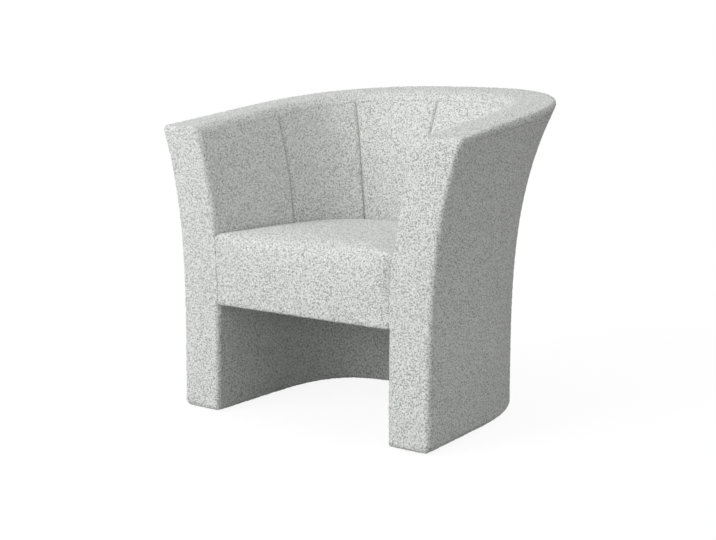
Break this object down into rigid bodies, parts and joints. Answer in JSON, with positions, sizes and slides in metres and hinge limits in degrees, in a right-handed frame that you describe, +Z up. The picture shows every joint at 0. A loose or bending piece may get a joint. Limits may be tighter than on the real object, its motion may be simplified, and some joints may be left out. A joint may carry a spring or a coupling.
{
  "type": "tub chair",
  "caption": "Tub chair: a U-shaped upholstered wall from the floor to a rim that rises at the back, with a tight sprung seat between its arms and an open space under the seat.",
  "frame": {"origin": "On the floor, under the middle of the chair's bounding box", "axes": "+Z up, the chair faces -Y, +X runs along its width"},
  "size_m": [0.7932, 0.676, 0.7312],
  "materials": {
    "boucle": "matte",
    "plywood": "satin",
    "beech": "satin",
    "fibreboard": "matte",
    "foam": "matte",
    "wadding": "matte",
    "felt": "matte",
    "black_cloth": "matte",
    "spring_steel": "satin",
    "zinc_steel": "satin",
    "black_plastic": "matte"
  },
  "bodies": {
    "root": {"base_ring": "plywood", "seat_ring": "plywood", "top_ring": "plywood", "arm_post_right": "plywood", "arm_post_left": "plywood", "lower_rib_1": "plywood", "lower_rib_2": "plywood", "lower_rib_3": "plywood", "lower_rib_4": "plywood", "lower_rib_5": "plywood", "lower_rib_6": "plywood", "lower_rib_7": "plywood", "upper_rib_1": "plywood", "upper_rib_2": "plywood", "upper_rib_3": "plywood", "upper_rib_4": "plywood", "upper_rib_5": "plywood", "upper_rib_6": "plywood", "upper_rib_7": "plywood", "seat_front_rail": "beech", "seat_back_rail": "beech", "seat_side_rail_right": "beech", "seat_side_rail_left": "beech", "corner_blocks": "beech", "seat_springs": "spring_steel", "spring_clips": "zinc_steel", "tie_wires": "zinc_steel", "frame_screws": "zinc_steel", "base_staples": "zinc_steel", "outer_liner": "fibreboard", "upper_inner_liner": "fibreboard", "lower_inner_liner": "fibreboard", "outer_wadding": "wadding", "inside_back_foam": "foam", "lower_inside_wadding": "wadding", "rim_foam": "foam", "arm_front_foam_right": "foam", "arm_front_foam_left": "foam", "spring_pad": "felt", "seat_foam": "foam", "rear_seat_block": "foam", "seat_wrap": "wadding", "outer_cover": "boucle", "rim_cover": "boucle", "arm_front_cover_right": "boucle", "arm_front_cover_left": "boucle", "lower_inside_cover": "boucle", "inside_panel_1": "boucle", "inside_panel_2": "boucle", "inside_panel_3": "boucle", "inside_panel_4": "boucle", "inside_panel_5": "boucle", "inside_panel_6": "boucle", "seat_cover": "boucle", "seat_dust_cloth": "black_cloth", "base_cloth": "black_cloth", "glides": "black_plastic"}
  },
  "joints": []
}
